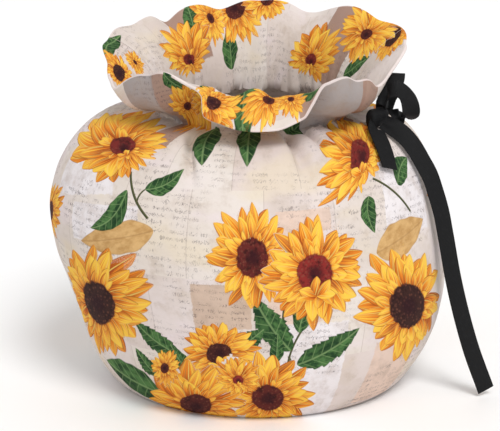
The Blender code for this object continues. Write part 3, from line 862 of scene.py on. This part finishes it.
tan = lay(ease(mottle, 0.30, 0.70), paint(184, 142, 88), paint(214, 174, 118))
tan = lay(ease(edge, 0.12, 0.0, 0.0, 0.4), tan, paint(150, 112, 70))
tan = lay(ease(aside, 0.06, 0.02, 0.0, 0.35), tan, paint(150, 112, 70))
stalk = lay(ease(y, -0.6, 0.6), paint(58, 64, 40), paint(92, 92, 62))
colour = lay(dry, green, tan)
colour = lay(stem, colour, stalk)
leaf.links.new(colour, result["Colour"])


def emboss(shader, height, strength, distance):
    """Raises the surface by a height, over a distance in metres."""
    tree = shader.id_data
    bump = tree.nodes.new("ShaderNodeBump")
    bump.inputs["Strength"].default_value = strength
    bump.inputs["Distance"].default_value = distance
    tree.links.new(height, bump.inputs["Height"])
    tree.links.new(bump.outputs["Normal"], shader.inputs["Normal"])


SCRAP_AND_PAINTED_SHADE_TONES = (     # beside beige: brown, pink, pale and grey
    (1.0, paint(158, 124, 108)),
    (3.0, paint(222, 196, 180)),
    (4.0, paint(231, 225, 227)),
    # This grey is painted shade for the frill's shaded outer face, not paper.
    (5.0, paint(160, 151, 149)),
)
BEIGE = paint(202, 176, 156)
SHEET_WIDE, SHEET_HIGH, SHEET_STAGGER = 38.0, 47.0, 17.0     # sheets of old paper in the ground
LETTER_ROW = 3.7       # height of a row of writing
LETTER_RISE = 0.035    # and its slope
THREADS = 9.0          # pace of the weave


def printed_cotton():
    cotton = bpy.data.materials.new("printed cotton")
    cotton.use_nodes = True
    tree = cotton.node_tree
    shader = tree.nodes["Principled BSDF"]
    across, up, side = parts_of(carried(tree, "cloth"))     # side is 2 on the rim
    flat = place_of(across, up, times(side, 40.0))

    # Ground: sheets of old paper laid side by side, pinkish, greyish or creamy, cloudy and lightly stained.
    cloud = fleck(flat, 0.022, 4.0, 0.6)
    stain = fleck(flat, 0.085, 5.0, 0.7)
    sheet_row = number("FLOOR", number("DIVIDE", up, SHEET_HIGH))
    sheet_place = number("DIVIDE", scaled(sheet_row, SHEET_STAGGER, across), SHEET_WIDE)
    sheet_tone = chance(scaled(sheet_row, 31.7, number("FLOOR", sheet_place)))
    ground = lay(ease(cloud, 0.38, 0.62), paint(222, 211, 208), paint(206, 193, 184))
    ground = lay(times(sheet_tone[0], 0.55), ground, paint(212, 195, 188))
    ground = lay(times(sheet_tone[1], 0.45), ground, paint(228, 221, 209))
    ground = lay(ease(stain, 0.48, 0.72, 0.0, 0.6), ground, paint(188, 172, 158))
    yellowed = fleck(place_of(times(across, 0.6), up, 70.0), 0.03, 3.0, 0.6)
    ground = lay(ease(yellowed, 0.52, 0.68, 0.0, 0.45), ground, paint(222, 206, 176))
    ground = lay(ease(yellowed, 0.46, 0.34, 0.0, 0.45), ground, paint(226, 212, 216))
    ground = lay(ease(number("FRACT", sheet_place), 0.016, 0.004, 0.0, 0.5), ground, paint(170, 155, 146))

    # Scraps of coloured paper with torn edges, and the grey patches of painted shade on the frill's outer
    # face.
    torn = between(fleck(flat, 0.22, 4.0, 0.7), -0.08, 0.08)
    for slot in range(SCRAP_SLOTS, 0, -1):
        x, y, _ = parts_of(carried(tree, f"scrap_{slot}"))
        scrap_kind, _, _ = parts_of(carried(tree, f"scrap_{slot}_kind"))
        scrap = BEIGE
        for kind, tone in SCRAP_AND_PAINTED_SHADE_TONES:
            scrap = lay(is_kind(scrap_kind, kind), scrap, tone)
        scrap = lay(ease(stain, 0.40, 0.70, 0.0, 0.4), scrap, paint(160, 138, 122))
        reach = number("MAXIMUM", unsigned(x), unsigned(y))
        ground = lay(ease(plus(reach, torn), 1.0, 0.96, 0.0, 0.9), ground, scrap)

    # Old letters: running pen strokes on ruled rows, in blocks, too loose to be letters.
    row = number("DIVIDE", scaled(across, LETTER_RISE, up), LETTER_ROW)
    row_number = number("FLOOR", row)
    in_row = minus(number("FRACT", row), 0.5)
    slanted = scaled(in_row, -0.9, across)
    pen = place_of(times(slanted, 1.25), scaled(row_number, 7.3, times(in_row, 1.7)), side)
    stroke = unsigned(minus(fleck(pen, 1.0, 1.5), 0.5))
    tall = fleck(place_of(times(across, 0.8), times(row_number, 3.9), side), 1.0, 0.0)
    in_line = ease(minus(unsigned(in_row), scaled(tall, 0.7, -0.14)), 0.06, 0.0)
    word = fleck(place_of(times(across, 0.17), times(row_number, 5.1), side), 1.0, 1.0)
    word = ease(word, 0.44, 0.50)
    block = ease(fleck(place_of(across, up, scaled(side, 9.0, 30.0)), 0.024, 1.0), 0.45, 0.52)
    faded = ease(fleck(flat, 0.05, 2.0), 0.3, 0.7, 0.35, 1.0)
    ink = times(times(ease(stroke, 0.050, 0.014), in_line), times(word, times(block, faded)))
    ground = lay(times(ink, 0.78), ground, paint(88, 78, 80))

    # The folded rim is paler, and leaves and blooms are printed over it, the first slot on top.
    colour = lay(times(is_kind(side, RIM), 0.7), ground, paint(232, 218, 214))
    for slot in range(LEAF_SLOTS, 0, -1):
        drawn = use_group(leaf, carried(tree, f"leaf_{slot}"), carried(tree, f"leaf_{slot}_kind"))
        colour = lay(drawn["Cover"], colour, drawn["Colour"])
    blooms = []
    for slot in range(1, BLOOM_SLOTS + 1):
        place = carried(tree, f"bloom_{slot}")
        if blooms:
            place = push_out(blooms[-1]["Cover"], place)
        blooms.append(use_group(bloom, place, carried(tree, f"bloom_{slot}_kind")))
    for drawn in reversed(blooms):
        colour = lay(drawn["Cover"], colour, drawn["Colour"])
    tree.links.new(colour, shader.inputs["Base Color"])
    shader.inputs["Roughness"].default_value = 0.82
    shader.inputs["Specular IOR Level"].default_value = 0.12

    # Plain weave and the slight unevenness of the wadding below it.
    weave = times(number("SINE", times(across, THREADS)), number("SINE", times(up, THREADS)))
    rough = scaled(fleck(flat, 0.35, 4.0, 0.6), 1.6, times(weave, 0.10))
    emboss(shader, rough, 0.35, 0.0006)
    return cotton


cotton = printed_cotton()
front_panel = sew_panel("front_panel_cloth", -SEAM, SEAM, "left", "right", columns=244)
front_panel.data.materials.append(cotton)
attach(front_panel, "root")
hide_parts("front_panel")

# Back panel. The other half of the same printed cotton, cut from the same length, sewn to the front panel
# down both sides, gathered by the same ribbon and standing higher above the neck.
back_panel = sew_panel("back_panel_cloth", SEAM, 360.0 - SEAM, "right", "left", columns=180)
back_panel.data.materials.append(cotton)
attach(back_panel, "root")
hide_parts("back_panel")


# Ribbon tie. A narrow black woven ribbon runs through the neck, is tied in a bow at the right of the front
# and leaves two drooping loops, a short tail and a long tail that hangs almost to the table.
RIBBON_WIDTH = 10.0
RIBBON_THICKNESS = 0.5
RIBBON_LANES = 9       # points across the ribbon
RIBBON_HOLLOW = 0.25   # how hollow it lies across
RIBBON_PINCH = 0.90    # share of the width where the knot draws it together
PLEAT_DEPTH = 0.35     # of the pleats beside the knot
PINCH_REACH = 9.0      # how far from the knot both run out
RIBS = 9.0             # pace of the cross ribs

# Routes: x, y, height, then the azimuth that a tail's face looks to.
LONG_TAIL = (
    (68.6, -37.0, 153.0, 42.0),
    (72.4, -39.4, 151.5, 36.0),
    (76.6, -40.9, 149.1, 32.0),
    (81.3, -42.0, 145.0, 30.0),
    (85.7, -42.9, 139.2, 30.0),
    (89.5, -43.6, 132.7, 30.0),
    (93.3, -44.0, 125.8, 30.0),
    (96.8, -44.4, 116.0, 30.0),
    (99.9, -44.6, 105.6, 30.0),
    (102.8, -44.6, 91.6, 30.0),
    (107.4, -44.2, 67.8, 29.0),
    (113.4, -43.6, 43.6, 28.0),
    (118.2, -43.2, 27.5, 27.0),
    (127.1, -43.0, 3.4, 26.0),
)
SHORT_TAIL = (
    (62.7, -41.0, 153.1, 32.0),
    (63.4, -45.0, 151.9, 29.0),
    (65.2, -50.0, 148.8, 28.0),
    (67.6, -56.0, 143.8, 29.0),
    (69.6, -62.0, 138.0, 30.0),
    (70.4, -65.5, 134.4, 30.0),
)
# Routes of the loops: x, y, height, then the direction of the ribbon's width, turned from +X to +Y and
# tilted up.
BOW_LOOP = (
    (70.6, -29.2, 159.4, 75.0, 0.0),
    (70.8, -29.8, 164.0, 78.0, 20.0),
    (72.4, -30.8, 168.6, 85.0, 42.0),
    (75.6, -31.2, 170.2, 80.0, 48.0),
    (79.2, -31.4, 168.4, 60.0, 36.0),
    (82.0, -31.2, 164.6, 35.0, 20.0),
    (83.6, -30.6, 159.6, 18.0, 8.0),
    (83.6, -28.6, 155.0, 12.0, 0.0),
    (81.6, -26.4, 153.0, 14.0, 0.0),
    (78.4, -26.4, 153.2, 26.0, 0.0),
    (75.0, -28.4, 154.0, 48.0, 0.0),
    (72.8, -30.0, 154.8, 62.0, 0.0),
)
TOP_LOOP = (
    (68.8, -26.0, 159.4, 25.0, 0.0),
    (71.4, -21.8, 163.4, 12.0, 0.0),
    (74.6, -17.0, 168.4, 2.0, 0.0),
    (76.4, -13.0, 172.6, -5.0, 0.0),
    (76.6, -10.4, 174.2, -8.0, 0.0),
    (76.2, -8.6, 172.6, -10.0, 0.0),
    (74.6, -10.4, 167.8, -8.0, 0.0),
    (72.0, -15.0, 162.4, 0.0, 0.0),
    (70.0, -21.5, 158.0, 15.0, 0.0),
    (70.0, -26.4, 156.4, 30.0, 0.0),
)


def smooth_route(rows, count):
    rows = np.array(rows, float)
    steps = np.linalg.norm(np.diff(rows[:, :3], axis=0), axis=1)
    reach = np.concatenate([[0.0], np.cumsum(steps)])
    at = np.linspace(0.0, reach[-1], count)
    return np.stack([curve(reach, column, np.gradient(column, reach), at) for column in rows.T], axis=-1)


def weave_ribbon(name, rows, count, is_loop):
    """A ribbon strip along its route, slightly hollow across. It carries its own width and length."""
    route = smooth_route(rows, count)
    points = [Vector(p[:3]) for p in route]
    last = count - 1
    steps = [0.0] + [(b - a).length for a, b in zip(points, points[1:])]
    reach = np.cumsum(steps)
    lanes = np.linspace(-0.5, 0.5, RIBBON_LANES)
    verts, places = [], []
    for i, point in enumerate(points):
        from_knot = min(reach[i], reach[-1] - reach[i]) if is_loop else reach[i]
        opened = float(smooth_step(from_knot / PINCH_REACH))
        width = RIBBON_WIDTH * (RIBBON_PINCH + (1.0 - RIBBON_PINCH) * opened)
        heading = (points[min(i + 1, last)] - points[max(i - 1, 0)]).normalized()
        turn = math.radians(route[i][3])
        if is_loop:
            tilt = math.radians(route[i][4])
            level = math.cos(tilt)
            across = Vector((math.cos(turn) * level, math.sin(turn) * level, math.sin(tilt)))
        else:
            across = heading.cross(Vector((math.sin(turn), -math.cos(turn), 0.0)))
        side = (across - heading * across.dot(heading)).normalized()
        face = side.cross(heading)
        pleat = (1.0 - opened) * PLEAT_DEPTH
        for lane in lanes:
            lift = RIBBON_HOLLOW * (1.0 - (2.0 * lane) ** 2) + pleat * math.cos(lane * 4.0 * math.pi)
            verts.append((point + Vector((AXIS_X, 0.0, 0.0)) + side * lane * width + face * lift) * 0.001)
            places.append((lane * RIBBON_WIDTH, reach[i], 0.0))
    faces = []
    for i in range(last):
        for k in range(RIBBON_LANES - 1):
            a = i * RIBBON_LANES + k
            faces.append((a, a + 1, a + RIBBON_LANES + 1, a + RIBBON_LANES))
    mesh = bpy.data.meshes.new(name)
    mesh.from_pydata(verts, [], faces)
    layer = mesh.attributes.new("ribbon", "FLOAT_VECTOR", "POINT")
    layer.data.foreach_set("vector", np.array(places, dtype=np.float32).ravel())
    strip = take_up(name, mesh)
    body = strip.modifiers.new("thickness", "SOLIDIFY")
    body.thickness = RIBBON_THICKNESS * 0.001
    body.offset = 0.0
    bpy.ops.object.modifier_apply(modifier=body.name)
    bpy.ops.object.shade_smooth_by_angle(angle=math.radians(50.0))
    strip.select_set(False)
    return strip, float(reach[-1]) * 0.001


def black_ribbon():
    satin = bpy.data.materials.new("black ribbon")
    satin.use_nodes = True
    tree = satin.node_tree
    shader = tree.nodes["Principled BSDF"]
    aside, along, _ = parts_of(carried(tree, "ribbon"))
    ribs = number("SINE", times(along, RIBS))
    selvedge = ease(unsigned(aside), 4.2, 4.7)
    wear = fleck(place_of(aside, along), 0.35, 3.0, 0.6)
    colour = lay(ease(ribs, -1.0, 1.0), paint(6, 6, 7), paint(14, 14, 16))
    colour = lay(times(ease(wear, 0.50, 0.75), 0.35), colour, paint(30, 30, 33))
    colour = lay(times(selvedge, 0.5), colour, paint(4, 4, 5))
    tree.links.new(colour, shader.inputs["Base Color"])
    shader.inputs["Roughness"].default_value = 0.6
    shader.inputs["Specular IOR Level"].default_value = 0.2
    emboss(shader, plus(ribs, times(selvedge, 0.8)), 0.4, 0.00015)
    return satin


ribbon = black_ribbon()
for node, rows, count, is_loop in (
    ("tie_long_tail", LONG_TAIL, 130, False),
    ("tie_short_tail", SHORT_TAIL, 40, False),
    ("tie_bow_loop", BOW_LOOP, 80, True),
    ("tie_top_loop", TOP_LOOP, 70, True),
):
    strip, strip_length = weave_ribbon(node + "_ribbon", rows, count, is_loop)
    strip.data.materials.append(ribbon)
    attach(strip, "root")
    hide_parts(node)

# Knot. The same black ribbon, turned once round the two ends and pulled tight against the neck.
# It is a small block, drawn in at the middle and puckered.
KNOT_AT = (65.4, -34.6, 155.1)
KNOT_SIZE = (16.0, 8.5, 11.5)
KNOT_FILL = 0.47       # its half, as a share of that size
KNOT_FACES = 50.0      # azimuth that its front looks to
WAIST_DEPTH, WAIST_REACH = 0.10, 0.35
PUCKERS, PUCKER_DEPTH = 9.0, 0.05
RIBBON_ASIDE, RIBBON_ROUND = 8.0, 5.0     # ribbon over the knot's length, and to a radian round it
bpy.ops.mesh.primitive_uv_sphere_add(segments=48, ring_count=32, radius=0.5, location=(0.0, 0.0, 0.0))
knot = bpy.context.active_object
knot.name = "tie_knot_turns"
for vert in knot.data.vertices:
    x, y, z = vert.co * 2.0
    squarer = 1.0 / max((abs(x) ** 3 + abs(y) ** 3 + abs(z) ** 3) ** (1.0 / 3.0), 1e-6)
    waist = 1.0 - WAIST_DEPTH * math.exp(-((x / WAIST_REACH) ** 2))
    pucker = 1.0 - PUCKER_DEPTH * (0.5 + 0.5 * math.cos(PUCKERS * math.atan2(z, y))) * (1.0 - x * x)
    drawn_in = waist * pucker
    vert.co = Vector((x, y * drawn_in, z * drawn_in)) * squarer * KNOT_FILL
knot_place = (
    Matrix.Translation(Vector((KNOT_AT[0] + AXIS_X, KNOT_AT[1], KNOT_AT[2])) * 0.001)
    @ Matrix.Rotation(math.radians(KNOT_FACES), 4, "Z")
    @ Matrix.Diagonal((*(Vector(KNOT_SIZE) * 0.001), 1.0))
)
ribbon_place = knot.data.attributes.new("ribbon", "FLOAT_VECTOR", "POINT")
for vert, mark in zip(knot.data.vertices, ribbon_place.data):
    mark.vector = (vert.co.x * RIBBON_ASIDE, math.atan2(vert.co.z, vert.co.y) * RIBBON_ROUND, 0.0)
knot.data.transform(knot_place)
knot.data.shade_smooth()
knot.data.materials.append(ribbon)
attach(knot, "root")
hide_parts("tie_knot")
knot.select_set(False)
